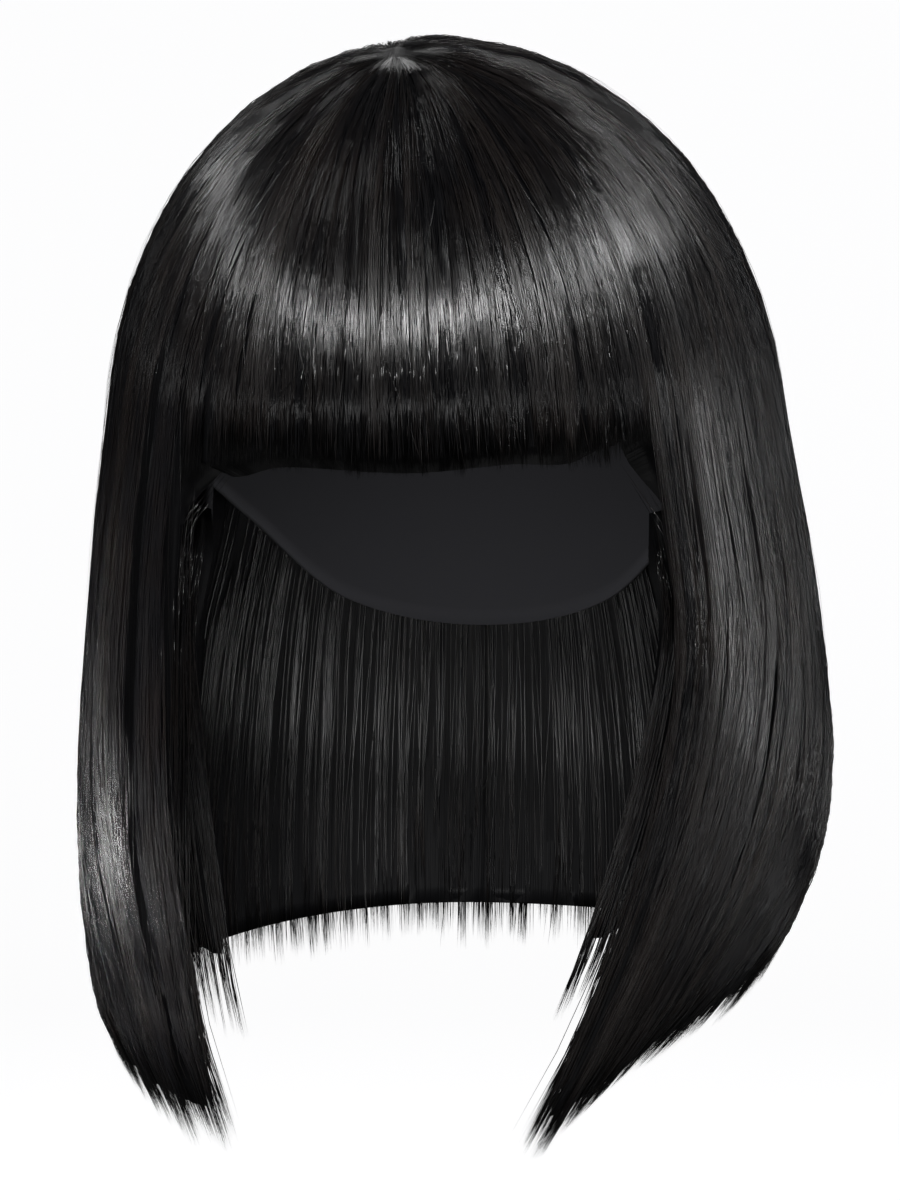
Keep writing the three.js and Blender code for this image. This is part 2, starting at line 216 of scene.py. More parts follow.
def follow(rows, column, at):
    """The smooth curve through one column: a cubic between rows, flat at the first and last."""
    x, v = rows["at"], rows[column]
    slope = np.zeros_like(v)
    slope[1:-1] = (v[2:] - v[:-2]) / (x[2:] - x[:-2])
    at = np.clip(at, x[0], x[-1])
    low = np.clip(np.searchsorted(x, at) - 1, 0, len(x) - 2)
    span = x[low + 1] - x[low]
    s = (at - x[low]) / span
    rise = s * s * (3 - 2 * s)
    bend = s * (1 - s) * span * ((1 - s) * slope[low] - s * slope[low + 1])
    return v[low] * (1 - rise) + v[low + 1] * rise + bend


def smooth(value, start, end):
    """0 before start and 1 after end, with a smooth step between them."""
    s = np.clip((value - start) / (end - start), 0, 1)
    return s * s * (3 - 2 * s)


def mix(a, b, share):
    """a at share 0 and b at share 1."""
    return a + (b - a) * share


def tilt(station):
    """The angle from straight up at a station: a quarter turn by the crown's end."""
    return np.minimum(station / CROWN_END, 1) * np.pi / 2


def fall(station):
    """0 over the crown, then up to 1 at the longest tip."""
    return np.maximum(station - CROWN_END, 0) / (1 - CROWN_END)


def station_at_depth(depth, widest):
    """The station where something that falls from widest to the tips reaches a depth."""
    crown = CROWN_END * np.arccos(np.clip(1 - depth / widest, -1, 1)) / (np.pi / 2)
    return np.where(depth < widest, crown, CROWN_END + (1 - CROWN_END) * (depth - widest) / (TIP_HEM - widest))


def head_point(angle, station, offset):
    """Half an ellipsoid over a column that narrows towards the neck: width and length times the sine of the tilt."""
    lean, down = tilt(station), fall(station)
    spread = np.sin(lean) * (1 - NECK_NARROWING * down)
    height = offset - (HEAD_WIDEST_DEPTH + offset) * (1 - np.cos(lean)) - (TIP_HEM - HEAD_WIDEST_DEPTH) * down
    x = (HEAD_HALF_WIDTH + offset) * spread * np.sin(angle)
    y = NECK_SETBACK * down - (HEAD_HALF_LENGTH + offset) * spread * np.cos(angle)
    return np.stack(np.broadcast_arrays(x, y, height), -1)


def hair_point(angle, station, relief):
    """The outside of the hair: at each station an ellipse with its own side, front and back reach, plus relief."""
    lean = tilt(station)
    spread = np.sin(lean)
    front = FRONT_REACH * follow(SECTIONS, "front", station)
    back = BACK_REACH * follow(SECTIONS, "back", station)
    reach = np.where(np.cos(angle) > 0, front, back)
    side = SIDE_REACH * follow(SECTIONS, "side", station)
    height = CROWN_BODY - (CROWN_BODY + HAIR_WIDEST_DEPTH) * (1 - np.cos(lean)) + relief * np.cos(lean)
    x = SIDE_REACH * follow(SECTIONS, "lean", station) + (side + relief) * spread * np.sin(angle)
    y = HAIR_SETBACK - (reach + relief) * spread * np.cos(angle)
    return np.stack(np.broadcast_arrays(x, y, height - (TIP_HEM - HAIR_WIDEST_DEPTH) * fall(station)), -1)


def course(degrees, station, sweep):
    """Where a strand has got to. The crown's pole is moved to the whorl, and ends turn forward by the sweep."""
    spread = np.sin(tilt(station))
    angle = np.radians(degrees)
    right = spread * np.sin(angle) + WHORL_RIGHT * (1 - spread)
    forward = spread * np.cos(angle) + WHORL_FORWARD * (1 - spread)
    away = np.minimum(np.hypot(right, forward), 1)
    turned = np.maximum(station - SWEEP_START, 0) / (1 - SWEEP_START)
    angle = np.arctan2(right, forward) - np.sign(degrees) * np.radians(sweep) * turned**SWEEP_CURVE
    return angle, np.where(station < CROWN_END, CROWN_END * np.arcsin(away) / (np.pi / 2), station)


def uneven(degrees, station):
    """The station with a slow wave round the wig, so that the swing starts higher in some locks."""
    return station + SWING_SHIFT * np.sin(np.radians(16 * degrees + 282))


def swing(degrees, station):
    """Degrees that the strands of the left curtain lie further back before they swing forward near the chin."""
    from_edge = mix(SWING_AT_EDGE, 1, smooth(-degrees, SWING_EDGE, SWING_EDGE + 22)) * smooth(-degrees, 18, SWING_EDGE)
    share = from_edge * mix(1, 0.8, smooth(-degrees, 80, 100)) * (1 - smooth(-degrees, 115, 165))
    level = smooth(uneven(degrees, station), SWING_START, SWING_STOP)
    return -SWING * share * smooth(station, 0.2, 0.66) * (1 - level)


def push(degrees, station):
    """How far the front edge of the left curtain eases back and is then pushed forward near the chin."""
    share = smooth(-degrees, 30, SWING_EDGE) * (1 - smooth(-degrees, 48, 76))
    forward = EDGE_PUSH * smooth(uneven(degrees, station), SWING_START, SWING_STOP)
    return share * (forward - EDGE_EASE * smooth(station, 0.50, SWING_START))


def strand_point(degrees, station, layer=1.0, relief=0.0, sweep=0.0, tuck=0.0, gap=LINING_GAP):
    """A point between the head, at layer 0, and the hair's outside, at 1, which the tuck draws in near the hem."""
    angle, place = course(degrees, station, sweep)
    inside = head_point(angle, place, CAP_WALL + gap)
    outside = hair_point(angle, place, relief)
    drawn = 1 - tuck * (np.maximum(station - TUCK_START, 0) / (1 - TUCK_START)) ** TUCK_CURVE
    outside[..., 0] *= drawn
    outside[..., 1] = HAIR_SETBACK + (outside[..., 1] - HAIR_SETBACK) * drawn - push(degrees, station)
    return mix(inside, outside, np.asarray(layer)[..., None])


def fringe_hem(degrees):
    """Station of the fringe's hem."""
    return station_at_depth(FRINGE_HEM * follow(FRINGE, "length", degrees), HAIR_WIDEST_DEPTH)


def curtain_hem(degrees):
    """Station of the curtain's hem."""
    depth = BACK_HEM + (TIP_HEM - BACK_HEM) * follow(CURTAIN, "length", degrees)
    return station_at_depth(depth, HAIR_WIDEST_DEPTH)


def curtain_bend(degrees):
    """Sweep and tuck at an angle."""
    return {"sweep": follow(CURTAIN, "sweep", degrees), "tuck": follow(CURTAIN, "tuck", degrees)}


def lining_at(name, degrees, station):
    """How far the inside of a panel has left the head: it thins to the front edges of the curtain."""
    if name == "fringe":
        return follow(FRINGE_LINING, "lining", station)
    thinning = smooth(EDGE_ANGLE - np.abs(degrees), 0, EDGE_ANGLE - PANELS["fringe"]["end"])
    opened = EDGE_THINNING * thinning * smooth(station, CROWN_END, EDGE_FALL)
    return mix(follow(SECTIONS, "lining", station), 1, opened)


def lock_relief(name, degrees, station, depth):
    """Grooves between the broad locks, and the parting with a hump beside it behind the whorl."""
    panel = PANELS[name]
    place = (degrees - panel["start"]) / (panel["end"] - panel["start"]) * panel["locks"] + panel.get("shift", 0)
    place = place + 0.2 * np.sin(1.9 * place)
    groove = smooth(1 - 3 * np.abs(place - np.round(place)), 0, 1) * (1 + 0.4 * np.sin(2.3 * np.round(place)))
    behind = HALF_TURN - np.abs(degrees)
    fades = np.sqrt(np.maximum(1 - station / (PARTING_END * CROWN_END), 0))
    hump = PARTING_HUMP * smooth(behind, 3, 9) * (1 - smooth(behind, 32, 42)) * (degrees > 0)
    parting = hump - PARTING_DEPTH * np.exp(-((behind / 2.2) ** 2))
    return parting * fades - depth * np.minimum(station / CROWN_END, 1) * groove


# Meshes


def mesh_object(name, points, faces, material, maps=None, shades=None):
    """A smooth mesh of triangles or quads from whole arrays, with its material held by the mesh itself."""
    mesh = bpy.data.meshes.new(name)
    count, corners = faces.shape
    mesh.vertices.add(len(points))
    mesh.vertices.foreach_set("co", points.astype(np.float32).ravel())
    mesh.loops.add(count * corners)
    mesh.loops.foreach_set("vertex_index", faces.astype(np.int32).ravel())
    mesh.polygons.add(count)
    mesh.polygons.foreach_set("loop_start", np.arange(0, count * corners, corners, dtype=np.int32))
    mesh.polygons.foreach_set("use_smooth", np.ones(count, bool))
    if maps is not None:
        layer = mesh.uv_layers.new(name="Hair")
        layer.data.foreach_set("uv", maps[faces.ravel()].astype(np.float32).ravel())
    if shades is not None:
        mesh.attributes.new("shade", "FLOAT", "POINT").data.foreach_set("value", shades.astype(np.float32))
    mesh.materials.append(material)
    mesh.update(calc_edges=True)
    mesh.validate()
    item = bpy.data.objects.new(name, mesh)
    bpy.context.scene.collection.objects.link(item)
    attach(item, "root")
    return item


def closed_sheet(outer, inner):
    """Faces that join two grids of columns by rows into one closed body, with its four edge walls."""
    columns, rows = outer.shape[:2]
    index = np.arange(columns * rows).reshape(columns, rows)
    below = index + columns * rows
    a, b, c, d = index[:-1, :-1], index[:-1, 1:], index[1:, 1:], index[1:, :-1]
    faces = [np.stack([a, b, c, d], -1), np.stack([a, d, c, b], -1) + columns * rows]
    for edge in (index[0, :], index[:, -1], index[::-1, 0], index[-1, ::-1]):
        under = below.ravel()[edge]
        faces.append(np.stack([edge[1:], edge[:-1], under[:-1], under[1:]], -1))
    points = np.concatenate([outer.reshape(-1, 3), inner.reshape(-1, 3)])
    return points, np.concatenate([f.reshape(-1, 4) for f in faces])


def closed_bowl(outer, inner):
    """Faces that join two bowls, each an array of rings by steps under its own top point, into one closed wall."""
    rings, steps = outer["rings"].shape[:2]
    half = 1 + rings * steps
    ring = 1 + np.arange(rings * steps).reshape(rings, steps)
    turned = np.roll(ring, -1, axis=1)
    top = np.zeros(steps, int)
    a, b, c, d = ring[:-1], ring[1:], turned[1:], turned[:-1]
    faces = [np.stack([a, b, c], -1), np.stack([a, c, d], -1), np.stack([top, ring[0], turned[0]], -1)]
    faces += [f[..., ::-1] + half for f in faces]
    rim, after = ring[-1], turned[-1]
    faces += [np.stack([after, rim, rim + half], -1), np.stack([after, rim + half, after + half], -1)]
    points = [part for side in (outer, inner) for part in (side["top"].reshape(1, 3), side["rings"].reshape(-1, 3))]
    return np.concatenate(points), np.concatenate([f.reshape(-1, 3) for f in faces])


def tubes(path, outward, radius):
    """Closed three-sided strands. Round each path a flattened triangle of the given radius, turned so one corner
    points outward, is carried from ring to ring. The first and last points close the strand."""
    count, rings = path.shape[:2]
    along = np.gradient(path, axis=1)
    along /= np.linalg.norm(along, axis=-1, keepdims=True)
    side = np.cross(along, outward)
    side /= np.linalg.norm(side, axis=-1, keepdims=True)
    up = np.cross(side, along)
    turn = np.radians([90, 210, 330])
    way = np.cos(turn)[:, None] * side[:, 1:-1, None] + FLATTENED * np.sin(turn)[:, None] * up[:, 1:-1, None]
    ring = path[:, 1:-1, None] + radius[:, 1:-1, None, None] * way
    points = np.concatenate([path[:, :1], ring.reshape(count, -1, 3), path[:, -1:]], 1)
    inner = rings - 2
    index = 1 + np.arange(inner * 3).reshape(inner, 3)
    turned = np.roll(index, -1, axis=1)
    last = 1 + inner * 3
    faces = np.concatenate([
        np.stack([index[:-1], turned[:-1], turned[1:]], -1).reshape(-1, 3),
        np.stack([index[:-1], turned[1:], index[1:]], -1).reshape(-1, 3),
        np.stack([np.zeros(3, int), turned[0], index[0]], -1),
        np.stack([np.full(3, last), index[-1], turned[-1]], -1),
    ])
    each = points.shape[1]
    every = (faces[None] + (np.arange(count) * each)[:, None, None]).reshape(-1, 3)
    return points.reshape(-1, 3), every[:, ::-1], each


# Strands


def stations_between(start, end, rings):
    """Stations from start to end, CLOSER_ROWS times closer over the crown, where the path bends most."""

    def stretched(s):
        return np.where(s < CROWN_END, CLOSER_ROWS * s, CLOSER_ROWS * CROWN_END + s - CROWN_END)

    x = mix(stretched(start)[:, None], stretched(end)[:, None], np.linspace(0, 1, rings))
    return np.where(x < CLOSER_ROWS * CROWN_END, x / CLOSER_ROWS, CROWN_END + x - CLOSER_ROWS * CROWN_END)


def waves(rng, count, size, shortest, longest):
    """Two sines for each strand, as sizes, wave numbers and phases, with lengths between shortest and longest."""
    return [
        (
            share * size * rng.uniform(0.3, 1, count),
            2 * np.pi / rng.uniform(shortest, longest, count),
            rng.uniform(0, 2 * np.pi, count),
        )
        for share in (0.65, 0.35)
    ]


def wander(sines, station, some):
    """How far some strands are from their course at each station."""
    return sum(size[some, None] * np.sin(wave[some, None] * station + phase[some, None]) for size, wave, phase in sines)


class Wisps:
    """Narrow groups of strands side by side across a panel, and each strand's place in its own."""

    def __init__(self, rng, start, end, width, count):
        self.rng = rng
        self.number = max(int(abs(math.radians(end - start)) * SIDE_REACH / width), 1)
        self.mine = rng.integers(0, self.number, count)
        self.own = rng.uniform(-1, 1, count)
        place = (np.arange(self.number) + rng.uniform(0.2, 0.8, self.number)) / self.number
        self.middle = mix(start, end, place)[self.mine]
        self.reach = self.own * abs(end - start) / self.number * self.each(0.45, 0.95)
        self.degrees = self.middle + self.reach

    def each(self, low, high):
        """One number for each wisp, as all its strands have it."""
        return self.rng.uniform(low, high, self.number)[self.mine]

    def sway(self, size, shortest, longest):
        """One sine for each wisp, for wander."""
        return [(self.each(0.2, 1) * size, 2 * np.pi / self.each(shortest, longest), self.each(0, 2 * np.pi))]

    def gathered(self, gather, along, some):
        """Degrees of some strands that draw together by the share gather on their way down."""
        return self.middle[some, None] + self.reach[some, None] * (1 - gather[some, None] * smooth(along, 0.25, 1))


def grow(place, begin, end, width, shade, rings, blunt):
    """Strands from begin to end. place(station, along, some) gives the points of some strands and a surface just
    outside them, and rings lists reach and points by length. A strand swells from its root and thins to its tip."""
    groups = []
    shortest = 0
    for longest, points in rings:
        some = np.nonzero((end - begin >= shortest) & (end - begin < longest))[0]
        shortest = longest
        if len(some):
            station = stations_between(begin[some], end[some], points)
            along = (station - station[:, :1]) / (station[:, -1:] - station[:, :1])
            path, over = place(station, along, some)
            even = np.linspace(0, 1, points)
            shape = mix(0.35, 1, smooth(even, 0, 0.12)) * mix(1, blunt, smooth(even, 0.88, 1))
            radius = width[some, None] / 2 * shape
            groups.append({"path": path, "outward": over - path, "radius": radius, "shade": shade[some]})
    return groups


def write_strands(name, groups, material):
    """Joins groups of tubes into one piece. Each strand has its own strip of the UV map and its own shade."""
    points, faces, maps, shades = [], [], [], []
    total = sum(len(g["path"]) for g in groups)
    placed = base = 0
    for g in groups:
        p, f, each = tubes(g["path"], g["outward"], g["radius"])
        count, rings = g["path"].shape[:2]
        points.append(p)
        faces.append(f + base)
        down = np.concatenate([[0], np.repeat(np.arange(1, rings - 1), 3), [rings - 1]]) / (rings - 1)
        over = np.concatenate([[0.5], np.tile([0.1, 0.5, 0.9], rings - 2), [0.5]])
        strip = (np.arange(count)[:, None] + placed + over) / total
        maps.append(np.stack(np.broadcast_arrays(strip, down), -1).reshape(-1, 2))
        shades.append(np.repeat(g["shade"], each))
        placed += count
        base += len(p)
    return mesh_object(
        name, np.concatenate(points), np.concatenate(faces), material, np.concatenate(maps), np.concatenate(shades)
    )


def comb_panel(name, count, seed, settings):
    """The strands over one panel. Wisps lie side by side, their strands draw together towards the tips, and each
    strand wanders a little across and in and out. Those that start lower rise from under the others."""
    rng = np.random.default_rng(seed)
    panel = PANELS[name]
    is_fringe = name == "fringe"
    wisps = Wisps(rng, panel["start"], panel["end"], settings.wisp_width * (0.8 if is_fringe else 1), count)
    hem = fringe_hem if is_fringe else curtain_hem
    ragged = settings.fringe_ragged if is_fringe else settings.curtain_ragged
    gather = wisps.each(0.15, 0.6) if is_fringe else wisps.each(0.25, 0.85)
    short = wisps.each(-0.8, 0.8) + np.abs(wisps.own) ** 1.5 + rng.exponential(0.35, count)
    end = hem(wisps.degrees) - short * ragged * FALL_STATION
    begin = CROWN_END * np.arcsin(rng.uniform(math.sin(tilt(0.012)), 1, count)) / (np.pi / 2)
    begin = np.where(rng.random(count) < 0.14, rng.uniform(0.006, WHORL_RADIUS, count), begin)
    begin = np.minimum(begin, end - 0.10)
    across = rng.normal(0, np.where(rng.random(count) < 0.12, 0.0045, 0.0007))
    lie = wisps.each(-0.0006, 0.0004) - np.abs(rng.normal(0, 0.0006, count)) + 0.0002
    root = np.where(begin > WHORL_RADIUS, 0.0016, 0.0004)
    shade = 0.6 * wisps.each(0, 1) + 0.4 * rng.random(count)
    width = settings.strand_width * rng.uniform(0.6, 1.35, count)
    drift = wisps.sway(settings.wisp_drift, 0.35, 0.7) + waves(rng, count, settings.strand_drift, 0.16, 0.45)
    swell = wisps.sway(settings.wisp_swell, 0.13, 0.24) + waves(rng, count, settings.strand_swell, 0.10, 0.25)

    def place(station, along, some):
        lateral = wander(drift, station, some) + across[some, None] * (2 * along - 1)
        spread = np.maximum(np.sin(tilt(station)), 0.16)
        degrees = wisps.gathered(gather, along, some)
        degrees = degrees + np.degrees(lateral * smooth(station, 0, 0.10) / (SIDE_REACH * spread))
        relief = lock_relief(name, degrees, station, settings.lock_depth) + lie[some, None]
        relief = relief + wander(swell, station, some) * smooth(station, 0.03, 0.15)
        relief = relief - root[some, None] * (1 - smooth(along, 0, 0.22))
        bend = {} if is_fringe else curtain_bend(degrees)
        at = degrees + WHORL_TURN * np.exp(-station / WHORL_FADE) + swing(degrees, station)
        return strand_point(at, station, 1.0, relief, **bend), strand_point(at, station, 1.0, relief + 0.001, **bend)

    rings = ((0.42, 11), (0.62, 13), (0.8, 15), (2, 17))
    return grow(place, begin, end, width, shade, rings, 0.8 if is_fringe else 0.5)


def comb_thickness(name, count, seed, settings):
    """Strands through the thickness of a curtain: along its inside, and filling its front edge and its hem."""
    rng = np.random.default_rng(seed)
    panel = PANELS[name]
    wisps = Wisps(rng, panel["start"], panel["end"], settings.wisp_width * 1.4, count)
    gather = wisps.each(0.2, 0.8)
    short = wisps.each(-0.4, 1.2) + rng.exponential(0.6, count)
    end = curtain_hem(wisps.degrees) - short * settings.curtain_ragged * FALL_STATION
    begin = rng.uniform(CROWN_END + 0.01, 0.60, count)
    share = np.where(rng.random(count) < 0.62, rng.uniform(-0.05, 0.06, count), rng.uniform(0.0, 0.9, count))
    drift = waves(rng, count, settings.strand_drift * 1.6, 0.2, 0.5)
    depth = waves(rng, count, 0.012, 0.12, 0.3)

    def place(station, along, some):
        degrees = wisps.gathered(gather, along, some) + np.degrees(wander(drift, station, some) / SIDE_REACH)
        layer = mix(lining_at(name, degrees, station), 1, share[some, None]) - 0.004 + wander(depth, station, some)
        layer = np.clip(layer, 0.03, 0.99)
        bend = curtain_bend(degrees)
        return strand_point(degrees, station, layer, **bend), strand_point(degrees, station, layer + 0.01, **bend)

    width = settings.strand_width * rng.uniform(0.6, 1.3, count)
    return grow(place, begin, end, width, rng.random(count), ((2, 10),), 0.25)


def comb_inner(name, count, seed, settings):
    """The strands of a short inner layer, from the cap to its thin hem."""
    rng = np.random.default_rng(seed)
    spec = INNER_LAYERS[name]
    wisps = Wisps(rng, spec["start"], spec["end"], settings.wisp_width * 1.2, count)
    gather = wisps.each(0.3, 0.8)
    across = (wisps.degrees - spec["start"]) / (spec["end"] - spec["start"])
    back = across if spec["start"] > 0 else 1 - across
    short = wisps.each(-1.2, 0.6) + rng.exponential(0.8, count)
    end = spec["down"] - spec["shorter"] * back - short * settings.curtain_ragged * FALL_STATION
    begin = rng.uniform(INNER_ROOT + 0.005, INNER_ROOT + 0.05, count)
    depth = rng.uniform(0.90, 1.02, count)
    drift = waves(rng, count, settings.strand_drift * 2, 0.2, 0.5)
    swell = waves(rng, count, 0.02, 0.12, 0.3)

    def place(station, along, some):
        degrees = wisps.gathered(gather, along, some) + np.degrees(wander(drift, station, some) / SIDE_REACH)
        layer = np.minimum(follow(SECTIONS, "lining", station) * INNER_DEPTH, spec["layer"]) * depth[some, None]
        layer = np.clip(layer + wander(swell, station, some) * smooth(along, 0, 0.3), 0.02, 0.95)
        bend = {"sweep": spec["forward"], "tuck": follow(CURTAIN, "tuck", degrees)}
        return strand_point(degrees, station, layer, **bend), strand_point(degrees, station, layer + 0.01, **bend)

    width = settings.strand_width * rng.uniform(0.5, 1.2, count)
    return grow(place, begin, end, width, rng.random(count), ((2, 11),), 0.2)


def comb_strays(count, seed, settings):
    """Thin stray strands that lift a little off the wig and cross the others."""
    rng = np.random.default_rng(seed)
    at = rng.uniform(-HALF_TURN, HALF_TURN, count)
    in_fringe = (at > PANELS["fringe"]["start"]) & (at < PANELS["fringe"]["end"])
    hem = np.where(in_fringe, fringe_hem(at), curtain_hem(at))
    begin = rng.uniform(0.03, 0.40, count)
    end = np.minimum(begin + rng.uniform(0.15, 0.55, count), hem - rng.uniform(-0.004, 0.05, count))
    begin = np.minimum(begin, end - 0.12)
    lift = rng.exponential(0.0006, count) + 0.0012
    across = rng.normal(0, 0.006, count)
    drift = waves(rng, count, 0.003, 0.15, 0.4)
    swell = waves(rng, count, 0.0008, 0.12, 0.3)

    def place(station, along, some):
        lateral = wander(drift, station, some) + across[some, None] * (2 * along - 1)
        degrees = at[some, None] + np.degrees(lateral / SIDE_REACH)
        relief = lift[some, None] * smooth(along, 0, 0.25) - 0.0012 + wander(swell, station, some)
        bend = {key: np.where(in_fringe[some, None], 0, value) for key, value in curtain_bend(degrees).items()}
        return (
            strand_point(degrees, station, 1.0, relief, **bend),
            strand_point(degrees, station, 1.0, relief + 0.001, **bend),
        )

    width = settings.strand_width * rng.uniform(0.3, 0.6, count)
    return grow(place, begin, end, width, rng.random(count), ((2, 12),), 0.2)


# Bodies


def panel_body(name, settings):
    """The solid body under a panel's strands: the panel's outside sunk a little, down to its lining."""
    panel = PANELS[name]
    is_fringe = name == "fringe"
    across = np.linspace(panel["start"] - SEAM_OVERLAP, panel["end"] + SEAM_OVERLAP, panel["locks"] * 8 + 1)[:, None]
    lift = settings.body_lift * (0.5 if is_fringe else 1)
    hem = (fringe_hem if is_fringe else curtain_hem)(across) - lift * FALL_STATION
    crown = np.linspace(WHORL_RADIUS * 0.7, CROWN_END, 22)[None, :-1]
    down = np.linspace(0, 1, 12 if is_fringe else 34)[None, :]
    crown = np.broadcast_to(crown, (len(across), crown.shape[1]))
    station = np.concatenate([crown, mix(CROWN_END, hem, down)], 1)
    degrees = np.broadcast_to(across, station.shape)
    if is_fringe:
        middle = (panel["start"] + panel["end"]) / 2
        degrees = middle + (degrees - middle) * (1 - 0.07 * smooth(station, 0.36, CROWN_END))
    elif "side" in name:
        edge = PANELS["fringe"]["start" if panel["end"] < 0 else "end"]
        near = 1 - smooth(np.abs(degrees), abs(edge), abs(edge) + 14)
        degrees = degrees + np.sign(edge) * settings.edge_recess * near * smooth(station, 0.40, 0.48)
    bend = {} if is_fringe else curtain_bend(degrees)
    relief = lock_relief(name, degrees, station, settings.lock_depth) - settings.body_sink
    lining = np.minimum(lining_at(name, degrees, station) + 0.01, 0.97)
    outer = strand_point(degrees, station, 1.0, relief, **bend)
    inner = strand_point(degrees, station, lining, 0.0, **bend)
    points, faces = closed_sheet(outer, inner)
    uv = np.stack([degrees * MAP_PER_DEGREE, station * MAP_PER_STATION], -1).reshape(-1, 2)
    return points, faces, np.concatenate([uv, uv])


def inner_body(name):
    """The thin solid body of an inner layer."""
    spec = INNER_LAYERS[name]
    free = 0.10
    across = (np.linspace(0, 1 - free, 37) if spec["start"] < 0 else np.linspace(free, 1, 37))[:, None]
    degrees = mix(spec["start"], spec["end"], across)
    back = across if spec["start"] > 0 else 1 - across
    end = spec["down"] - spec["shorter"] * back - 0.055
    down = np.linspace(0, 1, 30)[None, :]
    station = mix(INNER_ROOT + 0.004, end, down)
    degrees = np.broadcast_to(degrees, station.shape)
    bend = {"sweep": spec["forward"], "tuck": follow(CURTAIN, "tuck", degrees)}
    layer = np.minimum(follow(SECTIONS, "lining", station) * INNER_DEPTH, spec["layer"]) - 0.012
    face = strand_point(degrees, station, np.maximum(layer, 0.02), 0.0, **bend)
    root = strand_point(degrees, station, 0.0, 0.0, gap=ROOT_GAP, **bend)
    room = np.linalg.norm(face - root, axis=-1, keepdims=True)
    thin = INNER_WALL * mix(1, INNER_TIP, down)[..., None]
    wall = np.minimum(thin, room * INNER_ROOM)
    points, faces = closed_sheet(face, mix(face, root, wall / room))
    uv = np.stack([degrees * MAP_PER_DEGREE, station * MAP_PER_STATION], -1).reshape(-1, 2)
    return points, faces, np.concatenate([uv, uv])


def whorl_body(settings):
    """The small bowl of hair that closes the crown."""
    degrees = np.linspace(-180, 180, 48, endpoint=False)[None, :]
    station = (WHORL_RADIUS * 0.72 * np.linspace(0, 1, 7)[1:])[:, None]
    sides = []
    for layer, relief in ((1.0, -settings.body_sink), (0.0, 0.0)):
        rings = strand_point(degrees, station, layer, relief)
        sides.append({"top": strand_point(np.array(0.0), np.array(0.0), layer, relief), "rings": rings})
    points, faces = closed_bowl(*sides)
    return points, faces


def cap_body():
    """The stretch cap: a thin wall with a bound rim, high over the brow and low at the ear tabs and the nape."""
    angle = np.linspace(-np.pi, np.pi, 108, endpoint=False)[None, :]
    end = station_at_depth(CAP_RIM_DEPTH * follow(RIM, "depth", np.abs(np.degrees(angle))), HEAD_WIDEST_DEPTH)
    share = (np.linspace(0, 1, 41)[1:] ** 0.9)[:, None]
    station = end * share
    band = smooth(station, end - 0.020, end - 0.016)
    sides = []
    for offset, swell in ((CAP_WALL, 0.0004), (0.0, -0.0003)):
        rings = head_point(angle, station, offset + swell * band)
        sides.append({"top": np.array([0.0, 0.0, offset]), "rings": rings})
    points, faces = closed_bowl(*sides)
    uv = np.stack(np.broadcast_arrays(angle * CAP_MAP_PER_RADIAN, station * CAP_MAP_PER_STATION), -1).reshape(-1, 2)
    uv = np.concatenate([[[0.0, 0.0]], uv])
    return points, faces, np.concatenate([uv, uv])


# Materials


def new_material(name):
    """A material with a Principled shader, its tree, its shader and a function that adds and links nodes."""
    material = bpy.data.materials.new(name)
    material.use_nodes = True
    tree = material.node_tree
    shader = tree.nodes["Principled BSDF"]

    def add(kind, links=(), **values):
        node = tree.nodes.new(kind)
        for key, value in values.items():
            if key.startswith("in_"):
                slot = key[3:]
                node.inputs[int(slot) if slot.isdigit() else slot].default_value = value
            else:
                setattr(node, key, value)
        for socket, source in dict(links).items():
            tree.links.new(source, node.inputs[socket])
        return node

    return material, tree, shader, add


def strand_material(colours):
    """Glossy synthetic fibre. Its colour and gloss differ from strand to strand, and a little along each."""
    material, tree, shader, add = new_material("hair_fibre")
    shade = add("ShaderNodeAttribute", attribute_name="shade")
    place = add("ShaderNodeTexCoord")
    patch = add("ShaderNodeTexNoise", {"Vector": place.outputs["Object"]}, in_Scale=38.0, in_Detail=2.0)
    both = add("ShaderNodeMath", {0: shade.outputs["Fac"], 1: patch.outputs["Fac"]}, operation="MULTIPLY")
    ramp = add("ShaderNodeValToRGB", {"Fac": both.outputs[0]})
    ramp.color_ramp.elements[0].position = 0.12
    ramp.color_ramp.elements[0].color = (*colours.fibre, 1)
    ramp.color_ramp.elements[1].position = 0.62
    ramp.color_ramp.elements[1].color = (*colours.glint, 1)
    tree.links.new(ramp.outputs["Color"], shader.inputs["Base Color"])
    glossiest, dullest = colours.roughness - GLOSSIER, colours.roughness + DULLER
    gloss = add("ShaderNodeMapRange", {"Value": shade.outputs["Fac"]}, in_3=glossiest, in_4=dullest)
    tree.links.new(gloss.outputs["Result"], shader.inputs["Roughness"])
    shader.inputs["Base Color"].default_value = (*colours.fibre, 1)
    shader.inputs["Roughness"].default_value = colours.roughness
    shader.inputs["IOR"].default_value = 1.55
    shader.inputs["Specular IOR Level"].default_value = colours.shine
    return material


